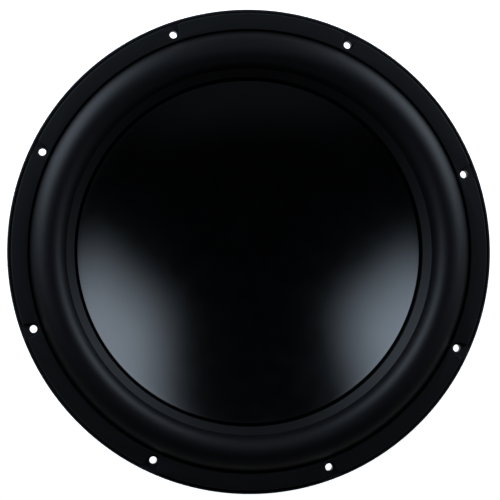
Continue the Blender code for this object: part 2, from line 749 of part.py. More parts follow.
def push_terminal(side, frame):
    terminal_housing(side, frame)
    for pole, x in (("red", -POLE_X), ("black", POLE_X)):
        terminal_button(side, pole, x, frame)
        terminal_spring(side, pole, x, frame)
        terminal_contact(side, pole, x, frame)
        tinsel_lead(side, pole, x, frame)
    for index, x in ((1, -TERMINAL_SCREW_X), (2, TERMINAL_SCREW_X)):
        terminal_screw(side, index, x, frame)


clear_scene()
parts_collection = new_collection(OBJECT_NAME)
cutters_collection = new_collection("cutters")
cone_axis = add_empty("cone_axis")
terminal_frames = [add_empty("terminal_a_frame"), add_empty("terminal_b_frame", turn=math.pi)]

basket()
front_gasket()
surround()
dish_cone()
back_cone()
coil_former()
former_collar()
voice_coil()
spider()
top_plate()
magnet("magnet_upper", UPPER_MAGNET_BOTTOM)
magnet("magnet_lower", LOWER_MAGNET_BOTTOM)
yoke()
shorting_ring()
vent_screen()
magnet_boot()
for screw_index in range(SPOKE_COUNT):
    plate_screw(screw_index)
for terminal_side, terminal_frame in zip("ab", terminal_frames):
    push_terminal(terminal_side, terminal_frame)
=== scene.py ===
import math
import bmesh
import bpy
from mathutils import Matrix, Vector
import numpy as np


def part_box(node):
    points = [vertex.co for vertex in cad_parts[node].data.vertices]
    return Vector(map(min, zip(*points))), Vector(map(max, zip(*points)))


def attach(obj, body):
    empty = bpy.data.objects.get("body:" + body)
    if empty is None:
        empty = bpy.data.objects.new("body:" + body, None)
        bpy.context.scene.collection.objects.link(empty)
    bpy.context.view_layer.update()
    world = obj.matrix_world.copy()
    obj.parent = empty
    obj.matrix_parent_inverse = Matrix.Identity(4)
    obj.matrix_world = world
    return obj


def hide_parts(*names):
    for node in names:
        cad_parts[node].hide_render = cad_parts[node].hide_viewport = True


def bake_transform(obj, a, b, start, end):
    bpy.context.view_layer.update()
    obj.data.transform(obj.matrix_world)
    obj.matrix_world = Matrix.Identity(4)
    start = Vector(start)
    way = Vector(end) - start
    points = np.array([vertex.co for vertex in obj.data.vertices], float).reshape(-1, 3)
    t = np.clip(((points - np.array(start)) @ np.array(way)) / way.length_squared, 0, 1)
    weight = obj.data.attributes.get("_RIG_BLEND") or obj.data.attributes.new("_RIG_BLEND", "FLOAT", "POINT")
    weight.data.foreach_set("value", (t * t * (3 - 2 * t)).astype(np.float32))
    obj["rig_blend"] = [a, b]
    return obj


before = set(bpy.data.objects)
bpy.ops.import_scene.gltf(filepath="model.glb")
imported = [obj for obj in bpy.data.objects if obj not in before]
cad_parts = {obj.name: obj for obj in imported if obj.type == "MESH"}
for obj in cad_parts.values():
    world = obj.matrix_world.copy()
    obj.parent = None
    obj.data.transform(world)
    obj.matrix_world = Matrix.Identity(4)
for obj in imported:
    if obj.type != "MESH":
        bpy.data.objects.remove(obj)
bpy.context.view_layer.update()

mm = 0.001
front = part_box("basket")[1].z - 0.9 * mm     # the flange's front plane; its raised rim stands 0.9 mm above it
print("frame loaded, front plane at", round(front / mm, 2), "mm")


# Camera: on the driver's axis, leaning a few degrees, turned so that a hole sits left of the top
cameraSettings = {"turn": -19.88, "yaw": -5.18, "pitch": 2.14, "distance": 1.562, "lens": 139.1,
                  "shift": (-0.0024, 0.0016)}


def turnedBy(degrees, axis):
    return Matrix.Rotation(math.radians(degrees), 4, axis)


camera = bpy.data.objects.new("camera", bpy.data.cameras.new("camera"))
bpy.context.scene.collection.objects.link(camera)
lean = (turnedBy(cameraSettings["turn"], "Z") @ turnedBy(cameraSettings["yaw"], "Y")
        @ turnedBy(cameraSettings["pitch"], "X"))
camera.matrix_world = (Matrix.Translation((0, 0, front)) @ lean
                       @ Matrix.Translation((0, 0, cameraSettings["distance"])))
camera.data.lens = cameraSettings["lens"]
camera.data.shift_x, camera.data.shift_y = cameraSettings["shift"]
camera.data.clip_start = 0.01
bpy.context.scene.camera = camera
bpy.context.scene.view_settings.view_transform = "Standard"


# Small helpers for nodes and materials

def linearColour(hexText):
    channels = [int(hexText[i:i + 2], 16) / 255 for i in (1, 3, 5)]
    return [c / 12.92 if c <= 0.04045 else ((c + 0.055) / 1.055) ** 2.4 for c in channels] + [1.0]


def addNode(tree, kind, settings=None, inputs=None, stops=None, feeds=None):
    # stops are a ramp's places and colours, feeds the sockets that the node's outputs go into
    node = tree.nodes.new(kind)
    for name, value in (settings or {}).items():
        setattr(node, name, value)
    for name, value in (inputs or {}).items():
        if isinstance(value, bpy.types.NodeSocket):
            tree.links.new(value, node.inputs[name])
        else:
            node.inputs[name].default_value = value
    if stops:
        for element, (position, colour) in zip(node.color_ramp.elements, stops):
            element.position = position
            element.color = linearColour(colour)
    for name, socket in (feeds or {}).items():
        tree.links.new(node.outputs[name], socket)
    return node


def startMaterial(look, metallic=0.0, ior=None):
    material = bpy.data.materials.new(look["name"])
    material.use_nodes = True
    tree = material.node_tree
    shader = tree.nodes["Principled BSDF"]
    shader.inputs["Base Color"].default_value = linearColour(look["colour"])
    shader.inputs["Metallic"].default_value = metallic
    if ior:
        shader.inputs["IOR"].default_value = ior
    for socket, value in look.get("sockets", {}).items():
        shader.inputs[socket].default_value = value
    place = addNode(tree, "ShaderNodeTexCoord").outputs["Object"]
    return material, tree, shader, place


def showPattern(tree, shader, pattern, look, relief=None):
    # the pattern moves the colour, roughness and height as far as the look says
    if "pale" in look:
        darkAt, paleAt = look.get("stops", (0.35, 0.7))
        addNode(tree, "ShaderNodeValToRGB", None, {"Fac": pattern},
                stops=((darkAt, look["colour"]), (paleAt, look["pale"])),
                feeds={"Color": shader.inputs["Base Color"]})
    if isinstance(look["roughness"], tuple):
        low, high = look["roughness"]
        addNode(tree, "ShaderNodeMapRange", None, {"Value": pattern, "To Min": low, "To Max": high},
                feeds={"Result": shader.inputs["Roughness"]})
    else:
        shader.inputs["Roughness"].default_value = look["roughness"]
    if "depth" in look:
        depth, strength = look["depth"]
        addNode(tree, "ShaderNodeBump", None,
                {"Height": relief or pattern, "Distance": depth * mm, "Strength": strength},
                feeds={"Normal": shader.inputs["Normal"]})


# Small helpers for shapes

def profileLine(shape, corners, closed=False, segments=4):
    # corners are (radius, height, rounding) in millimetres, heights from the flange's front plane
    points = [shape.verts.new((r * mm, 0, front + z * mm)) for r, z, rounding in corners]
    for a, b in zip(points, points[1:]):
        shape.edges.new((a, b))
    if closed:
        shape.edges.new((points[-1], points[0]))
    for size in sorted({c[2] for c in corners if c[2]}):
        rounded = [p for p, c in zip(points, corners) if c[2] == size]
        bmesh.ops.bevel(shape, geom=rounded, offset=size * mm, affect="VERTICES", segments=segments,
                        profile=0.5, material=-1, clamp_overlap=True)


def turnRound(shape, steps):
    bmesh.ops.spin(shape, geom=shape.verts[:] + shape.edges[:], cent=(0, 0, 0), axis=(0, 0, 1),
                   angle=math.tau, steps=steps, use_merge=True)
    bmesh.ops.remove_doubles(shape, verts=shape.verts[:], dist=0.00001)
    bmesh.ops.recalc_face_normals(shape, faces=shape.faces[:])


def faceUp(shape):
    # an open skin: turned so that its widest top faces up
    highest = max(shape.faces, key=lambda f: f.calc_center_median().z)
    if highest.normal.z < 0:
        bmesh.ops.reverse_faces(shape, faces=shape.faces[:])


def arcCorners(centre, radius, start, end, steps):
    turns = [math.radians(start + (end - start) * i / steps) for i in range(steps + 1)]
    return [(centre[0] + radius * math.cos(a), centre[1] + radius * math.sin(a), 0) for a in turns]


def addBox(shape, low, high):
    made = bmesh.ops.create_cube(shape, size=1.0)["verts"]
    bmesh.ops.scale(shape, vec=[b - a for a, b in zip(low, high)], verts=made)
    bmesh.ops.translate(shape, vec=[(a + b) / 2 for a, b in zip(low, high)], verts=made)
    return made


def addRod(shape, centre, radius, depth, segments, axis="Z", tip=None):
    made = bmesh.ops.create_cone(shape, cap_ends=True, segments=segments, radius1=radius,
                                 radius2=radius if tip is None else tip, depth=depth)["verts"]
    if axis != "Z":
        bmesh.ops.rotate(shape, cent=(0, 0, 0), matrix=turnedBy(-90, axis), verts=made)
    bmesh.ops.translate(shape, vec=centre, verts=made)
    return made


def finishPiece(name, shape, material, angle=30):
    mesh = bpy.data.meshes.new(name)
    shape.to_mesh(mesh)
    shape.free()
    mesh.shade_smooth()
    mesh.set_sharp_from_angle(angle=math.radians(angle))
    mesh.materials.append(material)
    piece = bpy.data.objects.new(name, mesh)
    bpy.context.scene.collection.objects.link(piece)
    return piece


def bakeModifiers(piece, angle=30):
    baked = bpy.data.meshes.new_from_object(piece.evaluated_get(bpy.context.evaluated_depsgraph_get()))
    piece.modifiers.clear()
    piece.data = baked
    baked.shade_smooth()
    baked.set_sharp_from_angle(angle=math.radians(angle))


def cutAway(piece, tools, operation="DIFFERENCE"):
    cutter = bpy.data.objects.new("cutter", bpy.data.meshes.new("cutter"))
    tools.to_mesh(cutter.data)
    tools.free()
    bpy.context.scene.collection.objects.link(cutter)
    cut = piece.modifiers.new("cut", "BOOLEAN")
    cut.operation, cut.solver, cut.object = operation, "EXACT", cutter
    bakeModifiers(piece)
    bpy.data.objects.remove(cutter, do_unlink=True)


def addWall(piece, thickness, side=-1.0):
    wall = piece.modifiers.new("wall", "SOLIDIFY")
    wall.thickness, wall.offset = thickness * mm, side


def softenEdges(piece, width, segments=2, angle=35):
    edge = piece.modifiers.new("edge", "BEVEL")
    edge.width, edge.segments, edge.limit_method = width * mm, segments, "ANGLE"
    edge.angle_limit = math.radians(angle)


def standsFor(piece, body, slot, *nodes):
    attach(piece, body)
    if nodes:
        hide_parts(*nodes)


def followByRadius(piece, still, moving):
    # points outside the first radius stay with the frame, points inside the second go with the cone
    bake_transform(piece, "root", "cone", (0, still * mm, front), (0, moving * mm, front))
    weights = piece.data.attributes["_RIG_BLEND"].data
    for point, weight in zip(piece.data.vertices, weights):
        share = (still * mm - math.hypot(point.co.x, point.co.y)) / ((still - moving) * mm)
        share = min(1.0, max(0.0, share))
        weight.value = share * share * (3 - 2 * share)


# Lights and floor. Two tall soft boxes stand at the upper left and upper right and lean outwards, low
# enough to light the bowl from its far sides. A weak one fills in from below; the room is dark.
lightSettings = {
    "right": {"azimuth": 57, "distance": 0.80, "height": 0.30, "size": (0.94, 1.28), "roll": 34, "power": 21.0,
              "colour": (0.72, 0.85, 1.0)},
    "left": {"azimuth": 305, "distance": 0.79, "height": 0.34, "size": (0.96, 1.40), "roll": -28, "power": 26.0,
             "colour": (0.70, 0.84, 1.0)},
    "low": {"azimuth": 175, "distance": 1.00, "height": 0.62, "size": (2.60, 1.00), "roll": 0, "power": 0.75,
            "colour": (0.85, 0.92, 1.0)},
}
for side, box in lightSettings.items():
    lamp = bpy.data.lights.new("softbox_" + side, "AREA")
    lamp.shape = "RECTANGLE"
    lamp.size, lamp.size_y = box["size"]
    lamp.energy = box["power"]
    lamp.color = box["colour"]
    lamp.use_nodes = True
    lampTree = lamp.node_tree
    across = addNode(lampTree, "ShaderNodeSeparateXYZ", None,
                     {0: addNode(lampTree, "ShaderNodeNewGeometry").outputs["Parametric"]})
    glows = []
    for axis in ("X", "Y"):         # the cloth is brightest in its middle and fades to its edges
        away = addNode(lampTree, "ShaderNodeMath", {"operation": "SUBTRACT"},
                       {0: across.outputs[axis], 1: 0.5})
        away = addNode(lampTree, "ShaderNodeMath", {"operation": "ABSOLUTE"}, {0: away.outputs[0]})
        glows.append(addNode(lampTree, "ShaderNodeMapRange", {"interpolation_type": "SMOOTHSTEP"},
                             {"Value": away.outputs[0], "From Min": 0.5, "From Max": 0.06}).outputs["Result"])
    glow = addNode(lampTree, "ShaderNodeMath", {"operation": "MULTIPLY"}, {0: glows[0], 1: glows[1]})
    lampTree.links.new(glow.outputs[0], lampTree.nodes["Emission"].inputs["Strength"])
    softBox = bpy.data.objects.new("softbox_" + side, lamp)
    bpy.context.scene.collection.objects.link(softBox)
    bearing = math.radians(90 - box["azimuth"] + cameraSettings["turn"])
    spot = Vector((math.cos(bearing) * box["distance"], math.sin(bearing) * box["distance"],
                   front + box["height"]))
    toDriver = Vector((0, 0, front)) - spot
    aim = toDriver.to_track_quat("-Z", "Y").to_matrix().to_4x4()
    softBox.matrix_world = Matrix.Translation(spot) @ aim @ turnedBy(box["roll"], "Z")
    softBox.visible_camera = False

world = bpy.data.worlds.new("darkRoom")
bpy.context.scene.world = world
world.use_nodes = True
roomTree = world.node_tree
roomTree.nodes.clear()
seen = addNode(roomTree, "ShaderNodeLightPath").outputs["Is Camera Ray"]
heading = addNode(roomTree, "ShaderNodeSeparateXYZ", None,
                  {0: addNode(roomTree, "ShaderNodeTexCoord").outputs["Generated"]})
horizon = addNode(roomTree, "ShaderNodeMapRange", {"interpolation_type": "SMOOTHSTEP"},
                  {"Value": heading.outputs["Z"], "From Min": 0.45, "From Max": -0.02,
                   "To Min": 0.001, "To Max": 0.20})      # a pale wall glows low down all round
dim = addNode(roomTree, "ShaderNodeBackground", None,
              {"Color": (0.88, 0.92, 1.0, 1.0), "Strength": horizon.outputs["Result"]})
paper = addNode(roomTree, "ShaderNodeBackground", None, {"Color": (1, 1, 1, 1), "Strength": 1.0})
either = addNode(roomTree, "ShaderNodeMixShader", None, {0: seen, 1: dim.outputs[0], 2: paper.outputs[0]})
addNode(roomTree, "ShaderNodeOutputWorld", None, {"Surface": either.outputs[0]})

floorSettings = {"size": 8.0, "colour": "#f7f7f6", "glow": 0.8}
floorShape = bmesh.new()
bmesh.ops.create_grid(floorShape, x_segments=1, y_segments=1, size=floorSettings["size"] / 2)
# Matt white paper roll, lit from behind so that it stays white; its pulp only mottles the roughness.
paperLook = {"name": "mattPaperRoll", "colour": floorSettings["colour"], "roughness": (0.85, 0.95)}
paperRoll, tree, shader, place = startMaterial(paperLook)
shader.inputs["Emission Color"].default_value = linearColour("#ffffff")
shader.inputs["Emission Strength"].default_value = floorSettings["glow"]
pulp = addNode(tree, "ShaderNodeTexNoise", None, {"Vector": place, "Scale": 60.0, "Detail": 2.0})
showPattern(tree, shader, pulp.outputs["Fac"], paperLook)
floor = finishPiece("floor", floorShape, paperRoll)
floor.data.transform(Matrix.Translation((0, 0, -0.0005)))
print("camera, lights and floor set")


# Materials. Each starts from the real one, and each pattern's scale is 1000 / its size in millimetres.
# Depths are in millimetres too, with the bump's strength beside them.
finishes = {}
noiseLooks = {
    # Aluminium die-casting under a black powder coat: satin, with a fine orange-peel texture.
    "castCoat": {"name": "powderCoatedCastAluminium", "colour": "#111113", "pale": "#161618",
                 "stops": (0.35, 0.65), "roughness": (0.42, 0.60), "grain": 2.2, "detail": (3.0, 0.55),
                 "depth": (0.06, 0.5), "ior": 1.5, "sockets": {"Specular IOR Level": 0.25}},
    # Compression-moulded sponge rubber: matt and even. Its 0.4 mm cells are drawn at 1.6 mm to show, and
    # being open they break up most of the sheen.
    "spongeRubber": {"name": "mouldedSpongeRubber", "colour": "#070708", "pale": "#0b0b0d",
                     "stops": (0.3, 0.7), "roughness": (0.64, 0.82), "grain": 1.6, "detail": (2.0, 0.6),
                     "depth": (0.08, 0.6), "ior": 1.5, "sockets": {"Specular IOR Level": 0.16}},
    # Injection-moulded polypropylene from a polished mould: smooth satin, with slow waves from shrinkage.
    "satinPolypropylene": {"name": "mouldedPolypropylene", "colour": "#040405", "pale": "#060607",
                           "stops": (0.35, 0.65), "roughness": (0.15, 0.20), "grain": 14.0,
                           "detail": (3.0, 0.5), "depth": (0.04, 0.3), "ior": 1.49},
    # Pressed paper pulp, dyed black: matt and felted. Its fibres are 0.1 mm wide and are drawn at 1 mm.
    "pressedPulp": {"name": "pressedPaperPulp", "colour": "#111111", "pale": "#242423", "stops": (0.3, 0.75),
                    "roughness": 0.85, "grain": 1.0, "detail": (6.0, 0.7), "tangle": 1.6,
                    "depth": (0.15, 0.8), "ior": 1.5},
    # Enamelled copper wire, wound tight: warm metal under a clear varnish, uneven from turn to turn.
    "enamelledCopper": {"name": "woundEnamelledCopper", "colour": "#b0643a", "pale": "#c97c4c",
                        "stops": (0.3, 0.7), "roughness": (0.22, 0.38), "grain": 3.0, "detail": (4.0, 0.5),
                        "metallic": 1.0, "sockets": {"Coat Weight": 0.8, "Coat IOR": 1.55}},
    # Bright zinc over cold-headed or punched steel: pale grey metal, cloudy where the plating is thinner.
    "brightZinc": {"name": "zincPlatedPressedSteel", "colour": "#a9abb0", "pale": "#c4c6ca",
                   "stops": (0.3, 0.7), "roughness": (0.22, 0.42), "grain": 2.5, "detail": (5.0, 0.6),
                   "metallic": 1.0},
    # Sintered strontium ferrite, ground on its faces: dark grey ceramic with a fine powdery grain.
    "groundFerrite": {"name": "groundSinteredFerrite", "colour": "#2b2b2e", "pale": "#3a3a3d",
                      "roughness": 0.55, "grain": 0.8, "detail": (6.0, 0.7), "depth": (0.04, 0.6), "ior": 2.3},
    # Moulded rubber boot: matt black, with the mould's spark-eroded grain, 0.5 mm, drawn at 1.4 mm.
    "bootRubber": {"name": "mouldedBootRubber", "colour": "#101011", "pale": "#1a1a1b",
                   "roughness": (0.52, 0.72), "grain": 1.4, "detail": (4.0, 0.6), "depth": (0.1, 0.7),
                   "ior": 1.52},
    # Injection-moulded ABS: the housing from a grained mould, the buttons from a smoother one.
    "blackHousing": {"name": "mouldedAbs_blackHousing", "colour": "#121213", "pale": "#1a1a1b",
                     "roughness": (0.42, 0.56), "grain": 0.9, "detail": (4.0, 0.6), "depth": (0.05, 0.6),
                     "ior": 1.53},
    "redButton": {"name": "mouldedAbs_redButton", "colour": "#b3140f", "pale": "#c21d15",
                  "roughness": (0.28, 0.38), "grain": 2.0, "detail": (4.0, 0.6), "depth": (0.02, 0.6),
                  "ior": 1.53},
    "blackButton": {"name": "mouldedAbs_blackButton", "colour": "#0d0d0e", "pale": "#141415",
                    "roughness": (0.28, 0.38), "grain": 2.0, "detail": (4.0, 0.6), "depth": (0.02, 0.6),
                    "ior": 1.53},
    # Tinned copper foil braided over cotton: pale gold metal, brighter where the foil catches the light.
    "tinselBraid": {"name": "braidedTinsel", "colour": "#a8946a", "pale": "#d8c79c", "stops": (0.3, 0.7),
                    "roughness": (0.32, 0.52), "grain": 0.8, "detail": (3.0, 0.7), "metallic": 1.0},
}
for key, look in noiseLooks.items():
    finishes[key], tree, shader, place = startMaterial(look, look.get("metallic", 0.0), look.get("ior"))
    detail, fineness = look["detail"]
    noise = addNode(tree, "ShaderNodeTexNoise", None,
                    {"Vector": place, "Scale": 1000 / look["grain"], "Detail": detail, "Roughness": fineness,
                     "Distortion": look.get("tangle", 0.0)})
    showPattern(tree, shader, noise.outputs["Fac"], look)

# Moulded butyl rubber: satin from the mould's fine blast, with a few settled specks of dust.
rollLook = {"name": "mouldedButylRubber", "colour": "#09080a", "dust": "#3a3a40", "roughness": (0.40, 0.52),
            "grain": 1.0, "speckSpacing": 9.0, "depth": (0.03, 0.4), "sockets": {"Specular IOR Level": 0.22}}
finishes["butylRubber"], tree, shader, place = startMaterial(rollLook, 0, 1.52)
grain = addNode(tree, "ShaderNodeTexNoise", None,
                {"Vector": place, "Scale": 1000 / rollLook["grain"], "Detail": 2.0, "Roughness": 0.5})
showPattern(tree, shader, grain.outputs["Fac"], rollLook)
specks = addNode(tree, "ShaderNodeTexVoronoi", {"feature": "F1"},
                 {"Vector": place, "Scale": 1000 / rollLook["speckSpacing"], "Randomness": 1.0})
addNode(tree, "ShaderNodeValToRGB", None, {"Fac": specks.outputs["Distance"]},
        stops=((0.02, rollLook["dust"]), (0.035, rollLook["colour"])),
        feeds={"Color": shader.inputs["Base Color"]})

# Two rolled strips: aluminium foil under a glossy amber polyimide film, and stamped copper for the contacts.
# The rolling lines run along each strip, so its pattern is drawn out by these stretches.
stripLooks = {
    "filmedFoil": {"name": "rolledFoilWithPolyimide", "colour": "#5b4a37", "pale": "#6f5c46",
                   "stops": (0.3, 0.7), "roughness": (0.24, 0.40), "line": 0.8, "detail": 3.0,
                   "stretch": (0.06, 0.06, 1.0),
                   "sockets": {"Coat Weight": 1.0, "Coat IOR": 1.7, "Coat Roughness": 0.12}},
    "stampedCopper": {"name": "stampedCopperStrip", "colour": "#a5694a", "pale": "#c88a62",
                      "stops": (0.3, 0.7), "roughness": (0.28, 0.44), "line": 0.9, "detail": 4.0,
                      "stretch": (1.0, 1.0, 0.12)},
}
for key, look in stripLooks.items():
    finishes[key], tree, shader, place = startMaterial(look, 1.0)
    drawnOut = addNode(tree, "ShaderNodeMapping", None, {"Vector": place, "Scale": look["stretch"]})
    rolled = addNode(tree, "ShaderNodeTexNoise", None,
                     {"Vector": drawnOut.outputs["Vector"], "Scale": 1000 / look["line"],
                      "Detail": look["detail"]})
    showPattern(tree, shader, rolled.outputs["Fac"], look)

# Woven cotton dipped in phenolic resin: brown and matt, with threads 0.7 mm apart drawn at 1.4 mm to show.
waveLength = math.tau * 1000 / 20         # over a size in millimetres, this scale gives one wave a size
clothLook = {"name": "resinDippedWovenCotton", "colour": "#2a1a10", "pale": "#4b3222", "stops": (0.1, 0.8),
             "roughness": 0.8, "thread": 1.4, "depth": (0.25, 0.8)}
finishes["dippedCotton"], tree, shader, place = startMaterial(clothLook, 0, 1.5)
warp, weft = [addNode(tree, "ShaderNodeTexWave", {"wave_type": "BANDS", "bands_direction": direction},
                      {"Vector": place, "Scale": waveLength / clothLook["thread"], "Distortion": 0.4,
                       "Detail": 1.0})
              for direction in ("X", "Y")]
weave = addNode(tree, "ShaderNodeMath", {"operation": "MULTIPLY"},
                {0: warp.outputs["Fac"], 1: weft.outputs["Fac"]})
showPattern(tree, shader, weave.outputs[0], clothLook)

# Black zinc over turned steel: dark metal with the lathe's rings, fed 0.3 mm a turn and drawn at 1 mm.
blackZincLook = {"name": "blackZincPlatedTurnedSteel", "colour": "#1d1d20", "pale": "#2b2b2f",
                 "stops": (0.3, 0.7), "roughness": (0.30, 0.46), "feed": 1.0, "cloud": 9.0,
                 "depth": (0.02, 0.4)}
finishes["blackZinc"], tree, shader, place = startMaterial(blackZincLook, 1.0)
rings = addNode(tree, "ShaderNodeTexWave", {"wave_type": "RINGS", "rings_direction": "Z"},
                {"Vector": place, "Scale": waveLength / blackZincLook["feed"], "Distortion": 0.6,
                 "Detail": 2.0})
cloud = addNode(tree, "ShaderNodeTexNoise", None,
                {"Vector": place, "Scale": 1000 / blackZincLook["cloud"], "Detail": 4.0})
showPattern(tree, shader, cloud.outputs["Fac"], blackZincLook, rings.outputs["Fac"])

# Turned aluminium, left bare: pale metal with the lathe's rings, fed 0.2 mm a turn and drawn at 0.8 mm.
turnedLook = {"name": "turnedAluminium", "colour": "#c9cacc", "pale": "#dadbdd", "stops": (0.2, 0.8),
              "roughness": 0.34, "feed": 0.8, "depth": (0.02, 0.5)}
finishes["turnedAluminium"], tree, shader, place = startMaterial(turnedLook, 1.0)
rings = addNode(tree, "ShaderNodeTexWave", {"wave_type": "RINGS", "rings_direction": "Z"},
                {"Vector": place, "Scale": waveLength / turnedLook["feed"], "Distortion": 0.5})
showPattern(tree, shader, rings.outputs["Fac"], turnedLook)
print("materials made")


# Basket: one die-casting. The flange and its wall, the spoked cone, the hub and the terminal pads
basketSettings = {
    "steps": 240,
    "flange": [(193.7, 0, 0.15), (194.2, 0.9, 0.2), (196.0, 0.9, 0.4), (196.0, -7.5, 1.0), (177.2, -7.5, 1.0),
               (176.0, -29.5, 1.5), (172.6, -33.0, 0), (172.0, -30.0, 0), (172.5, -1.8, 0.2),
               (182.3, -1.8, 0.2), (182.3, 0, 0.3)],
    "hub": [(110.0, -95.6, 0), (104.5, -102.5, 1.0), (104.5, -108.0, 1.5), (95.0, -120.0, 1.2),
            (46.0, -120.0, 0.5), (46.0, -114.0, 0.5), (88.0, -114.0, 3.0), (94.0, -108.0, 2.0),
            (94.0, -97.3, 0.6), (104.0, -97.3, 0.8)],
    "wall": 4.8,                     # cone wall's thickness
    "spokes": 6,
    "halfSpoke": 11.0,
    "rows": [175.2, 171.0, 166.0, 156.0, 140.0, 122.0, 107.0, 104.9],      # radii across the cone
    "rib": [(170.0, -27.0), (174.4, -28.5), (174.4, -41.0), (113.0, -103.0), (97.0, -117.3), (97.0, -110.0),
            (106.0, -97.0), (168.0, -34.5)],
    "ribWidth": 6.0,
    "pad": ((-32, 97, -115), (32, 106.5, -99.3)),
    "holes": 8,
    "holeCircle": 185.83,
    "holeRadius": 3.05,
}


def addTo(whole, shape):
    # keeps each closed lump of the casting in one mesh
    part = bpy.data.meshes.new("lump")
    shape.to_mesh(part)
    shape.free()
    whole.from_mesh(part)
    bpy.data.meshes.remove(part)


flange = bmesh.new()
profileLine(flange, basketSettings["flange"], closed=True)
turnRound(flange, basketSettings["steps"])
flangePiece = finishPiece("flangeLump", flange, finishes["castCoat"])
drills = bmesh.new()
holeCircle = basketSettings["holeCircle"] * mm
for i in range(basketSettings["holes"]):
    a = math.tau * i / basketSettings["holes"]
    addRod(drills, (holeCircle * math.cos(a), holeCircle * math.sin(a), front - 4 * mm),
           basketSettings["holeRadius"] * mm, 12 * mm, 40)
cutAway(flangePiece, drills)

# cone with its windows: a grid of cells, less the cells between the spokes
cone = bmesh.new()
profileLine(cone, [(r, min(r - 206.0, -29.0) if r > 104.9 else -103.0, 0) for r in basketSettings["rows"]])
columns = 10                         # cells from one spoke to the next; the outer two belong to the spoke
turnRound(cone, basketSettings["spokes"] * columns)
pitch = math.tau / basketSettings["spokes"]
for v in cone.verts:
    angle = math.atan2(v.co.y, v.co.x)
    radius = math.hypot(v.co.x, v.co.y)
    spoke = round(angle / pitch) * pitch
    cell = round((angle - spoke) / (pitch / columns))
    edge = basketSettings["halfSpoke"] * mm / radius
    away = abs(cell)
    offset = away * edge if away <= 1 else edge + (away - 1) * (pitch / 2 - edge) / (columns / 2 - 1)
    offset *= 1 if cell >= 0 else -1
    v.co.x, v.co.y = radius * math.cos(spoke + offset), radius * math.sin(spoke + offset)
windowOuter, windowInner = basketSettings["rows"][2] * mm, basketSettings["rows"][6] * mm
gone = []
for f in cone.faces:
    middle = f.calc_center_median()
    radius = math.hypot(middle.x, middle.y)
    angle = math.atan2(middle.y, middle.x)
    away = abs(angle - round(angle / pitch) * pitch)
    if windowInner < radius < windowOuter and away * radius > basketSettings["halfSpoke"] * mm:
        gone.append(f)
bmesh.ops.delete(cone, geom=gone, context="FACES")
for f in cone.faces:
    if f.normal.dot(Vector((f.calc_center_median().x, f.calc_center_median().y, -0.1))) < 0:
        f.normal_flip()
conePiece = finishPiece("coneLump", cone, finishes["castCoat"], 60)
smooth = conePiece.modifiers.new("smooth", "SUBSURF")
smooth.levels = smooth.render_levels = 2
addWall(conePiece, basketSettings["wall"])
softenEdges(conePiece, 1.2, 3, 50)
bakeModifiers(conePiece, 40)

lumps = bmesh.new()
hub = bmesh.new()
profileLine(hub, basketSettings["hub"], closed=True)
turnRound(hub, 180)
addTo(lumps, hub)
rib = bmesh.new()
outline = [rib.verts.new((r * mm, -basketSettings["ribWidth"] / 2 * mm, front + z * mm))
           for r, z in basketSettings["rib"]]
side = rib.faces.new(outline)
grown = bmesh.ops.extrude_face_region(rib, geom=[side])["geom"]
bmesh.ops.translate(rib, vec=(0, basketSettings["ribWidth"] * mm, 0),
                    verts=[g for g in grown if isinstance(g, bmesh.types.BMVert)])
bmesh.ops.recalc_face_normals(rib, faces=rib.faces[:])
bmesh.ops.bevel(rib, geom=rib.edges[:], offset=1.3 * mm, affect="EDGES", segments=3, profile=0.5, material=-1,
                clamp_overlap=True)
bmesh.ops.spin(rib, geom=rib.verts[:] + rib.edges[:] + rib.faces[:], cent=(0, 0, 0), axis=(0, 0, 1),
               angle=math.tau * (basketSettings["spokes"] - 1) / basketSettings["spokes"],
               steps=basketSettings["spokes"] - 1, use_duplicate=True)
addTo(lumps, rib)
for turn in (0, 180):
    pad = bmesh.new()
    low, high = basketSettings["pad"]
    addBox(pad, (low[0] * mm, low[1] * mm, front + low[2] * mm),
           (high[0] * mm, high[1] * mm, front + high[2] * mm))
    bmesh.ops.bevel(pad, geom=pad.edges[:], offset=1.5 * mm, affect="EDGES", segments=3, profile=0.5,
                    material=-1)
    bmesh.ops.rotate(pad, cent=(0, 0, 0), matrix=turnedBy(turn, "Z"), verts=pad.verts[:])
    addTo(lumps, pad)
for lump in (flangePiece, conePiece):
    lumps.from_mesh(lump.data)
    bpy.data.objects.remove(lump, do_unlink=True)
basket = finishPiece("basket_casting", lumps, finishes["castCoat"])
standsFor(basket, "root", "cast_black", "basket")
print("basket cast")


# Front gasket: a flat ring with a rounded slot behind each hole, open to the rim
gasketSettings = {"inner": 179.5, "outer": 192.6, "bottom": 0.3, "top": 4.0, "slotRadius": 4.55,
                  "slotCentre": 185.83, "mouth": 5.9, "mouthRounding": 1.9, "outerEdge": 0.9,
                  "innerEdge": 0.5, "slots": 8}
gasket = bmesh.new()
half = 180 / gasketSettings["slots"]
mouthAngle = math.degrees(math.asin(gasketSettings["mouth"] / gasketSettings["outer"]))
ringCorners = arcCorners((0, 0), gasketSettings["inner"], -half, half, 24)
ringCorners += arcCorners((0, 0), gasketSettings["outer"], half, mouthAngle, 24)
ringCorners += arcCorners((gasketSettings["slotCentre"], 0), gasketSettings["slotRadius"], 90, 270, 18)
ringCorners += arcCorners((0, 0), gasketSettings["outer"], -mouthAngle, -half, 24)
corners = [gasket.verts.new((x * mm, y * mm, front + gasketSettings["bottom"] * mm))
           for x, y, rounding in ringCorners]
gasket.faces.new(corners)
mouths = [corners[25 + 24], corners[25 + 25 + 19]]
bmesh.ops.bevel(gasket, geom=mouths, offset=gasketSettings["mouthRounding"] * mm, affect="VERTICES",
                segments=6, profile=0.5, material=-1, clamp_overlap=False)
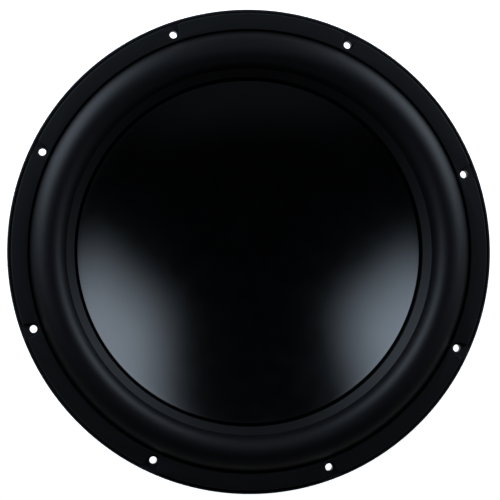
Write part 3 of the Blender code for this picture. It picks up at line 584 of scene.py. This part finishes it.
bmesh.ops.spin(gasket, geom=gasket.verts[:] + gasket.edges[:] + gasket.faces[:], cent=(0, 0, 0),
               axis=(0, 0, 1), angle=math.tau * (gasketSettings["slots"] - 1) / gasketSettings["slots"],
               steps=gasketSettings["slots"] - 1, use_duplicate=True)
bmesh.ops.remove_doubles(gasket, verts=gasket.verts[:], dist=0.00001)
grown = bmesh.ops.extrude_face_region(gasket, geom=gasket.faces[:])["geom"]
bmesh.ops.translate(gasket, vec=(0, 0, (gasketSettings["top"] - gasketSettings["bottom"]) * mm),
                    verts=[v for v in grown if isinstance(v, bmesh.types.BMVert)])
bmesh.ops.recalc_face_normals(gasket, faces=gasket.faces[:])
topHeight = front + gasketSettings["top"] * mm
rims = {"outerEdge": [], "innerEdge": []}
for e in gasket.edges:
    if all(abs(v.co.z - topHeight) < 1e-6 for v in e.verts) and e.calc_face_angle(0) > 1:
        radius = math.hypot(*((e.verts[0].co + e.verts[1].co) / 2).xy)
        rims["innerEdge" if radius < (gasketSettings["inner"] + 0.5) * mm else "outerEdge"].append(e)
for rim, edges in rims.items():
    bmesh.ops.bevel(gasket, geom=edges, offset=gasketSettings[rim] * mm, affect="EDGES", segments=4,
                    profile=0.5, material=-1, clamp_overlap=False)
gasketPiece = finishPiece("front_gasket_ring", gasket, finishes["spongeRubber"], 25)
standsFor(gasketPiece, "root", "gasket_rubber", "front_gasket")
print("gasket cut")


# Surround: outer lip, half roll and the sloping lip that is bonded to the dish
surroundSettings = {"steps": 288, "crest": (162.8, 11.8), "innerArc": 13.9, "outerArc": 17.2, "wall": 1.6,
                    "outerLip": [(182.0, 0.0, 0), (179.2, 0.0, 0.3)],
                    "innerLip": [(148.8, -4.9, 0), (142.45, -11.2, 0)]}
roll = bmesh.new()
crestRadius, crestHeight = surroundSettings["crest"]
outerArc, innerArc = surroundSettings["outerArc"], surroundSettings["innerArc"]
profileLine(roll, surroundSettings["outerLip"]
            + arcCorners((crestRadius, crestHeight - outerArc), outerArc, 21, 90, 24)
            + arcCorners((crestRadius, crestHeight - innerArc), innerArc, 90, 178, 26)[1:]
            + surroundSettings["innerLip"])
turnRound(roll, surroundSettings["steps"])
faceUp(roll)
surround = finishPiece("surround_roll", roll, finishes["butylRubber"], 30)
addWall(surround, surroundSettings["wall"])
bakeModifiers(surround, 30)
followByRadius(surround, 178.0, 149.0)
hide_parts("surround")
print("surround moulded")


# Dish: a shallow bowl, part of a sphere
dishSettings = {"steps": 256, "sphere": 244.0, "bottom": -59.4, "edge": 140.0, "wall": 1.3, "rings": 40,
                "groove": [(140.35, -17.6, 0.3), (142.7, -17.6, 0.3)], "rim": 150.0}


def bowlCorners(fromRadius, toRadius, steps, depth=0.0):
    # along the sphere, or that much below it
    sphere = dishSettings["sphere"] + depth
    turns = [math.degrees(math.asin(min(1.0, r / sphere))) for r in (fromRadius, toRadius)]
    centre = (0, dishSettings["bottom"] + dishSettings["sphere"])
    return arcCorners(centre, sphere, turns[0] - 90, turns[1] - 90, steps)


bowl = bmesh.new()
dishEdge, dishRim, dishWall = dishSettings["edge"], dishSettings["rim"], dishSettings["wall"]
under = [(r + (1.0 if r > 141 else -1.2), z - dishWall, 0.5)
         for r, z, rounding in reversed(dishSettings["groove"])]
profileLine(bowl, bowlCorners(0, dishEdge - 0.5, dishSettings["rings"])
            + [(dishEdge, bowlCorners(0, dishEdge, 1)[1][1] + 0.05, 0.4)] + dishSettings["groove"]
            + bowlCorners(143.2, dishRim, 4) + bowlCorners(dishRim, 144.6, 4, dishWall) + under
            + bowlCorners(138.4, 0, dishSettings["rings"] // 2, dishWall))
turnRound(bowl, dishSettings["steps"])
dish = finishPiece("dish_bowl", bowl, finishes["satinPolypropylene"], 30)
standsFor(dish, "cone", "dish_black", "dish_cone")
print("dish pressed")

# Back cone: a straight-sided paper cone between the coil and the back of the dish
backConeSettings = {"lip": (113.0, 118.0), "neck": (39.8, -88.0), "wall": 0.9, "gap": 1.6, "steps": 192}
paperCone = bmesh.new()
lipInner, lipOuter = backConeSettings["lip"]
neckRadius, neckHeight = backConeSettings["neck"]
lipTop = bowlCorners(lipInner, lipOuter, 3, backConeSettings["gap"])
lipUnder = [(r, z - backConeSettings["wall"] * 1.2, 0) for r, z, rounding in reversed(lipTop)]
profileLine(paperCone, lipTop[:-1] + [(*lipTop[-1][:2], 0.3), (*lipUnder[0][:2], 0.3)] + lipUnder[1:-1]
            + [(*lipUnder[-1][:2], 2.5), (neckRadius, neckHeight, 0.3), (neckRadius, neckHeight + 1.25, 0.3)],
            closed=True)
turnRound(paperCone, backConeSettings["steps"])
backCone = finishPiece("back_cone_paper", paperCone, finishes["pressedPulp"], 30)
standsFor(backCone, "cone", "paper_black", "back_cone")

# Coil former, its paper collar and the winding
coilSettings = {"inside": 38.0, "formerWall": 0.5, "formerTop": -58.1, "formerBottom": -147.3,
                "collar": (38.8, 39.4, -81.0, -100.0), "winding": (38.8, 40.3, -107.8, -144.8), "turns": 46,
                "steps": 96}
tube = bmesh.new()
profileLine(tube, [(coilSettings["inside"] + coilSettings["formerWall"], coilSettings["formerTop"], 0.12),
                   (coilSettings["inside"] + coilSettings["formerWall"], coilSettings["formerBottom"], 0.12),
                   (coilSettings["inside"], coilSettings["formerBottom"], 0.12),
                   (coilSettings["inside"], coilSettings["formerTop"], 0.12)], closed=True, segments=2)
turnRound(tube, coilSettings["steps"])
standsFor(finishPiece("coil_former_tube", tube, finishes["filmedFoil"]), "cone", "former_foil", "coil_former")
inner, outer, top, bottom = coilSettings["collar"]
collar = bmesh.new()
profileLine(collar, [(outer, top, 0.2), (outer, bottom, 0.2), (inner, bottom, 0.1), (inner, top, 0.1)],
            closed=True, segments=3)
turnRound(collar, coilSettings["steps"])
standsFor(finishPiece("former_collar_ring", collar, finishes["pressedPulp"]), "cone", "paper_black",
          "former_collar")
inner, outer, top, bottom = coilSettings["winding"]
wirePitch = (top - bottom) / coilSettings["turns"]
winding = bmesh.new()
ridges = [(inner, bottom, 0), (inner, top, 0)]
for i in range(coilSettings["turns"]):
    turnTop = top - wirePitch * i
    ridges += [(outer - 0.22, turnTop, 0), (outer - 0.04, turnTop - wirePitch * 0.2, 0),
               (outer, turnTop - wirePitch * 0.5, 0), (outer - 0.04, turnTop - wirePitch * 0.8, 0)]
ridges.append((outer - 0.22, bottom, 0))
profileLine(winding, ridges, closed=True)
turnRound(winding, coilSettings["steps"])
standsFor(finishPiece("voice_coil_winding", winding, finishes["enamelledCopper"], 50), "cone", "copper",
          "voice_coil")
print("coil wound")


# Spider: a corrugated disc of stiff cloth from the basket's ledge to the collar
spiderSettings = {"edge": 103.0, "start": 94.0, "end": 45.0, "neck": 39.9, "height": -96.5, "wave": 2.2,
                  "rolls": 4, "wall": 0.7, "steps": 180}
disc = bmesh.new()
discLine = [(spiderSettings["edge"], spiderSettings["height"], 0)]
halfWaves = 2 * spiderSettings["rolls"]
reach = spiderSettings["end"] - spiderSettings["start"]
for i in range(halfWaves * 6 + 1):
    t = i / 6
    swing = -math.cos(math.pi * t)
    if t < 1 or t > halfWaves - 1:
        swing = (1 + swing) / 2       # the first and last rolls run out flat
    discLine.append((spiderSettings["start"] + reach * t / halfWaves,
                     spiderSettings["height"] + spiderSettings["wave"] * swing, 0))
discLine.append((spiderSettings["neck"], spiderSettings["height"], 0))
profileLine(disc, discLine)
turnRound(disc, spiderSettings["steps"])
faceUp(disc)
spider = finishPiece("spider_disc", disc, finishes["dippedCotton"], 50)
addWall(spider, spiderSettings["wall"], 0.0)
bakeModifiers(spider, 50)
followByRadius(spider, spiderSettings["start"], spiderSettings["end"])
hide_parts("spider")
print("spider pressed")


# Boot: a rubber cover over both magnets, with a bead at its top and bottom edges
bootSettings = {
    "steps": 200,
    "outside": [(91.0, 69.9, 0.8), (93.6, 68.3, 1.5), (95.0, 64.4, 1.6), (95.0, 60.6, 0.6), (94.3, 59.6, 0.6),
                (94.3, 10.4, 0.6), (95.0, 9.4, 0.6), (95.0, 4.6, 2.0), (93.2, 1.1, 1.4), (90.0, 0.0, 1.2),
                (20.0, 0.0, 0.8)],
    "inside": [(20.0, 3.0, 0.5), (87.3, 3.0, 0), (87.3, 17.3, 0), (90.3, 17.3, 0), (90.3, 58.2, 0),
               (87.3, 58.2, 0), (87.3, 69.9, 0.4)],
}
boot = bmesh.new()
bootLine = bootSettings["outside"] + bootSettings["inside"]
profileLine(boot, [(r, z - front / mm, rounding) for r, z, rounding in bootLine], closed=True)
turnRound(boot, bootSettings["steps"])
standsFor(finishPiece("magnet_boot_cover", boot, finishes["bootRubber"], 30), "root", "boot_rubber",
          "magnet_boot")

# Vent screen: a punched disc in the mouth of the pole's vent
screenSettings = {"radius": 13.6, "low": 3.9, "high": 4.9, "hole": 0.75, "spacing": 2.1, "punched": 11.8}
screen = bmesh.new()
low, high = screenSettings["low"] * mm, screenSettings["high"] * mm
addRod(screen, (0, 0, (low + high) / 2), screenSettings["radius"] * mm, high - low, 64)
screenPiece = finishPiece("vent_screen_disc", screen, finishes["brightZinc"])
punches = bmesh.new()
across = int(screenSettings["punched"] / screenSettings["spacing"]) + 2
for row in range(-across, across + 1):
    for column in range(-across, across + 1):
        x = (column + 0.5 * (row % 2)) * screenSettings["spacing"]
        y = row * screenSettings["spacing"] * math.sqrt(3) / 2
        if math.hypot(x, y) < screenSettings["punched"]:
            addRod(punches, (x * mm, y * mm, (low + high) / 2), screenSettings["hole"] * mm, 4 * mm, 10)
cutAway(screenPiece, punches)
standsFor(screenPiece, "root", "bright_steel", "vent_screen")
print("boot and vent screen made")


# Screws: a domed head with a driver recess, and a shank with shallow threads
screwSettings = {
    "plate": {"head": 4.6, "headHeight": 3.0, "shank": 2.5, "length": 14.0, "pitch": 0.8, "recess": 1.7,
              "depth": 1.8, "corners": 6},
    "terminal": {"head": 2.9, "headHeight": 2.0, "shank": 1.5, "length": 9.0, "pitch": 0.6, "recess": 1.2,
                 "depth": 1.2, "corners": 4},
}


def addScrew(name, size, placing, node):
    # drawn standing on the origin, head up, and then put in its place
    shape = bmesh.new()
    seat = -front / mm
    head, height, shank = size["head"], size["headHeight"], size["shank"]
    line = [(0, seat + height, 0), (head * 0.62, seat + height, 0.5), (head * 0.97, seat + height * 0.45, 0.5),
            (head, seat, 0.1), (shank, seat, 0)]
    threads = int(size["length"] / size["pitch"]) - 1
    for i in range(threads):
        ridge = seat - size["pitch"] * (i + 0.5)
        line += [(shank - 0.25, ridge, 0), (shank, ridge - size["pitch"] / 2, 0)]
    line += [(shank - 0.5, seat - size["length"], 0), (0, seat - size["length"], 0)]
    profileLine(shape, line)
    turnRound(shape, 32)
    screw = finishPiece(name, shape, finishes["brightZinc"], 35)
    recess = bmesh.new()
    addRod(recess, (0, 0, height * mm), size["recess"] * mm * 0.9, size["depth"] * 2 * mm, size["corners"],
           tip=size["recess"] * mm)
    cutAway(screw, recess)
    screw.data.transform(placing)
    standsFor(screw, "root", "bright_steel", node)


plateScrews = {"count": 6, "circle": 70, "seat": 76.8}
for i in range(plateScrews["count"]):
    bearing = math.tau * (i + 0.5) / plateScrews["count"]
    x, y = [plateScrews["circle"] * mm * turn(bearing) for turn in (math.cos, math.sin)]
    addScrew(f"plate_screw_{i + 1}_pan_head", screwSettings["plate"],
             Matrix.Translation((x, y, plateScrews["seat"] * mm)), f"plate_screw_{i + 1}")
print("plate screws driven")


# Push terminals, drawn facing +Y; terminal b is terminal a turned half round
terminalSettings = {
    "body": ((-22, 106.8, 70.2), (22, 130.8, 90.2)), "ears": ((-31, 106.8, 74.2), (31, 109.8, 86.2)),
    "corner": 0.8, "poles": {"red": -10.5, "black": 10.5},
    # for each pole a button's well, a wire's well and a contact's slot
    "wells": [(6.5, 114.2, 132, 79.9, 88.5), (3.2, 111.6, 132, 72.0, 78.4), (3.3, 111.6, 113.2, 72.05, 91.2)],
    "bore": 1.8, "screw": (26.5, 80.2), "screwSeat": 110.1,
    "button": (6.1, 121.8, 135.8, 80.3, 88.1), "buttonCorner": 0.9, "grips": (-2.2, 0.0, 2.2),
    "gripRadius": 0.45,
    "contact": (2.8, 112.0, 112.8, 72.4, 95.2),
    "spring": {"radius": 2.6, "wire": 0.3, "from": 114.8, "to": 121.2, "height": 84.2, "turns": 5, "steps": 24},
    "lead": [(0, 110.6, 91.8), (0, 110.6, 95.7), (0, 106.6, 101.5), (0.4, 98, 104.5), (1.0, 90, 104.5),
             (1.8, 80, 102.5), (2.6, 70, 100.5), (3.2, 60, 99.3), (3.8, 50, 98.7), (4.4, 41.0, 98.5)],
    "braid": {"strands": 8, "radius": 0.82, "strand": 0.26, "lay": 7.0, "step": 0.45, "core": 0.66},
}
millimetres = Matrix.Scale(mm, 4)
for side, half in (("a", 0), ("b", 180)):
    facing = turnedBy(half, "Z")
    low, high = terminalSettings["body"]
    block = bmesh.new()
    addBox(block, low, high)
    bmesh.ops.transform(block, matrix=millimetres, verts=block.verts[:])
    housing = finishPiece("terminal_" + side + "_housing_body", block, finishes["blackHousing"])
    ears = bmesh.new()
    addBox(ears, *terminalSettings["ears"])
    upright = [e for e in ears.edges if abs(e.verts[0].co.y - e.verts[1].co.y) > 1]
    bmesh.ops.bevel(ears, geom=upright, offset=2.5, affect="EDGES", segments=5, profile=0.5, material=-1)
    bmesh.ops.transform(ears, matrix=millimetres, verts=ears.verts[:])
    cutAway(housing, ears, "UNION")
    cuts = bmesh.new()
    screwX, screwZ = terminalSettings["screw"]
    for x in (-screwX, screwX):
        addRod(cuts, (x, 108.3, screwZ), terminalSettings["bore"], 8, 24, "X")
    for wide, back, face, bottom, top in terminalSettings["wells"]:
        for x in terminalSettings["poles"].values():
            addBox(cuts, (x - wide, back, bottom), (x + wide, face, top))
        bmesh.ops.transform(cuts, matrix=millimetres, verts=cuts.verts[:])
        cutAway(housing, cuts)
        cuts = bmesh.new()
    softenEdges(housing, terminalSettings["corner"] * 0.4, 2, 60)
    bakeModifiers(housing, 40)
    housing.data.transform(facing)
    standsFor(housing, "root", "terminal_black", "terminal_" + side + "_housing")
    for index, x in ((1, -screwX), (2, screwX)):
        seat = Matrix.Translation((x * mm, terminalSettings["screwSeat"] * mm, screwZ * mm))
        placing = facing @ seat @ turnedBy(-90, "X")
        addScrew(f"terminal_{side}_screw_{index}_pan_head", screwSettings["terminal"], placing,
                 f"terminal_{side}_screw_{index}")

    for pole, x in terminalSettings["poles"].items():
        wide, back, face, bottom, top = terminalSettings["button"]
        press = bmesh.new()
        addBox(press, (x - wide, back, bottom), (x + wide, face, top))
        bmesh.ops.bevel(press, geom=press.edges[:], offset=terminalSettings["buttonCorner"], affect="EDGES",
                        segments=4, profile=0.5, material=-1)
        bmesh.ops.transform(press, matrix=millimetres, verts=press.verts[:])
        button = finishPiece(f"terminal_{side}_{pole}_button", press, finishes[pole + "Button"])
        grips = bmesh.new()
        for rise in terminalSettings["grips"]:
            bar = addRod(grips, (0, 0, 0), terminalSettings["gripRadius"], wide * 1.4, 12)
            bmesh.ops.rotate(grips, cent=(0, 0, 0), matrix=turnedBy(90, "Y"), verts=bar)
            bmesh.ops.translate(grips, vec=(x, face, (bottom + top) / 2 + rise), verts=bar)
        bmesh.ops.transform(grips, matrix=millimetres, verts=grips.verts[:])
        cutAway(button, grips)
        button.data.transform(facing)
        standsFor(button, f"button_{side}_{pole}", "button_" + pole, f"terminal_{side}_button_{pole}")

        wide, back, face, bottom, top = terminalSettings["contact"]
        strip = bmesh.new()
        addBox(strip, (x - wide, back, bottom), (x + wide, face, top))
        tag = [e for e in strip.edges
               if abs(e.verts[0].co.y - e.verts[1].co.y) > 0.1 and e.verts[0].co.z > bottom + 1]
        bmesh.ops.bevel(strip, geom=tag, offset=1.9, affect="EDGES", segments=6, profile=0.5, material=-1)
        bmesh.ops.transform(strip, matrix=facing @ millimetres, verts=strip.verts[:])
        contact = finishPiece(f"terminal_{side}_{pole}_contact", strip, finishes["stampedCopper"])
        standsFor(contact, "root", "copper", f"terminal_{side}_contact_{pole}")

        coil = terminalSettings["spring"]
        spring = bmesh.new()
        buttonZ = coil["height"]
        bmesh.ops.create_circle(spring, cap_ends=False, segments=8, radius=coil["wire"])
        bmesh.ops.translate(spring, vec=(coil["radius"], 0, 0), verts=spring.verts[:])
        bmesh.ops.transform(spring, matrix=Matrix.Translation((x, coil["from"], buttonZ)),
                            verts=spring.verts[:])
        turnsOfWire = coil["turns"] * coil["steps"]
        bmesh.ops.spin(spring, geom=spring.verts[:] + spring.edges[:], cent=(x, coil["from"], buttonZ),
                       axis=(0, 1, 0), dvec=(0, (coil["to"] - coil["from"]) / turnsOfWire, 0),
                       angle=math.tau * coil["turns"], steps=turnsOfWire)
        bmesh.ops.holes_fill(spring, edges=spring.edges[:], sides=0)
        bmesh.ops.recalc_face_normals(spring, faces=spring.faces[:])
        bmesh.ops.transform(spring, matrix=facing @ millimetres, verts=spring.verts[:])
        springPiece = finishPiece(f"terminal_{side}_{pole}_spring", spring, finishes["brightZinc"], 60)
        ends = [facing @ Vector((x * mm, y * mm, buttonZ * mm)) for y in (coil["from"], coil["to"])]
        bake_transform(springPiece, "root", f"button_{side}_{pole}", ends[0], ends[1])
        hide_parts(f"terminal_{side}_spring_{pole}")
print("terminals fitted")


# Tinsel leads: eight strands braided over a cotton core, with solder at the tag and glue at the collar
def smoothRoute(points, step):
    # a curve through the points, cut into even steps
    curve = bpy.data.curves.new("route", "CURVE")
    curve.dimensions = "3D"
    curve.resolution_u = 24
    spline = curve.splines.new("BEZIER")
    spline.bezier_points.add(len(points) - 1)
    for knot, point in zip(spline.bezier_points, points):
        knot.co = point
        knot.handle_left_type = knot.handle_right_type = "AUTO"
    drawn = bpy.data.objects.new("route", curve)
    bpy.context.scene.collection.objects.link(drawn)
    line = bpy.data.meshes.new_from_object(drawn.evaluated_get(bpy.context.evaluated_depsgraph_get()))
    fine = [v.co.copy() for v in line.vertices]
    bpy.data.objects.remove(drawn, do_unlink=True)
    bpy.data.meshes.remove(line)
    spaced, travelled = [fine[0]], 0.0
    for a, b in zip(fine, fine[1:]):
        travelled += (b - a).length
        if travelled >= step:
            spaced.append(b)
            travelled = 0.0
    return spaced


def addStrand(curve, points, radius):
    strand = curve.splines.new("POLY")
    strand.points.add(len(points) - 1)
    for knot, point in zip(strand.points, points):
        knot.co = (*point, 1)
        knot.radius = radius


braid = terminalSettings["braid"]
for side, half in (("a", 0), ("b", 180)):
    facing = turnedBy(half, "Z")
    for pole, x in terminalSettings["poles"].items():
        inward = 1 if x > 0 else -1
        knots = [Vector((x - shift * inward, y, z)) for shift, y, z in terminalSettings["lead"]]
        route = smoothRoute(knots, braid["step"])
        curve = bpy.data.curves.new("lead", "CURVE")
        curve.dimensions = "3D"
        curve.bevel_depth = 1.0
        curve.bevel_resolution = 1
        curve.use_fill_caps = True
        addStrand(curve, route, braid["core"])
        level = Vector((1, 0, 0))
        frames = []
        travelled = 0.0
        for i, point in enumerate(route):
            ahead = (route[min(i + 1, len(route) - 1)] - route[max(i - 1, 0)]).normalized()
            level = (level - ahead * level.dot(ahead)).normalized()
            travelled += (point - route[i - 1]).length if i else 0.0
            frames.append((point, level.copy(), ahead.cross(level), travelled))
        for i in range(braid["strands"]):
            way = 1 if i % 2 else -1
            strand = []
            for point, level, upward, travelled in frames:
                angle = math.tau * (way * travelled / braid["lay"] + i / braid["strands"])
                # each strand rises over the ones it meets and dips under the next
                over = braid["radius"] + 0.05 * way * math.cos(2 * braid["strands"] * angle / 4)
                strand.append(point + (level * math.cos(angle) + upward * math.sin(angle)) * over)
            addStrand(curve, strand, braid["strand"])
        drawn = bpy.data.objects.new("lead", curve)
        bpy.context.scene.collection.objects.link(drawn)
        rope = bmesh.new()
        made = bpy.data.meshes.new_from_object(drawn.evaluated_get(bpy.context.evaluated_depsgraph_get()))
        rope.from_mesh(made)
        bpy.data.objects.remove(drawn, do_unlink=True)
        bpy.data.meshes.remove(made)
        bmesh.ops.remove_doubles(rope, verts=rope.verts[:], dist=0.0001)
        solder, glue = (knots[0] + Vector((0, 0.1, 0.6)), (1.9, 1.25, 2.1)), (knots[-1], (1.5, 1.3, 1.3))
        for knot, size in (solder, glue):
            joint = bmesh.ops.create_uvsphere(rope, u_segments=20, v_segments=12, radius=1.0)["verts"]
            bmesh.ops.scale(rope, vec=size, verts=joint)
            bmesh.ops.translate(rope, vec=knot, verts=joint)
        bmesh.ops.recalc_face_normals(rope, faces=rope.faces[:])
        bmesh.ops.transform(rope, matrix=facing @ millimetres, verts=rope.verts[:])
        lead = finishPiece(f"tinsel_lead_{side}_{pole}_braid", rope, finishes["tinselBraid"], 60)
        followByRadius(lead, spiderSettings["start"], spiderSettings["end"])
        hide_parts(f"tinsel_lead_{side}_{pole}")
print("leads braided")


# The motor's own pieces keep their CAD shape and take their real finish
motorFinishes = {"top_plate": finishes["blackZinc"], "yoke": finishes["blackZinc"],
                 "magnet_upper": finishes["groundFerrite"], "magnet_lower": finishes["groundFerrite"],
                 "shorting_ring": finishes["turnedAluminium"]}
for node, finish in motorFinishes.items():
    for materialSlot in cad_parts[node].material_slots:
        materialSlot.material = finish
print("motor finished")
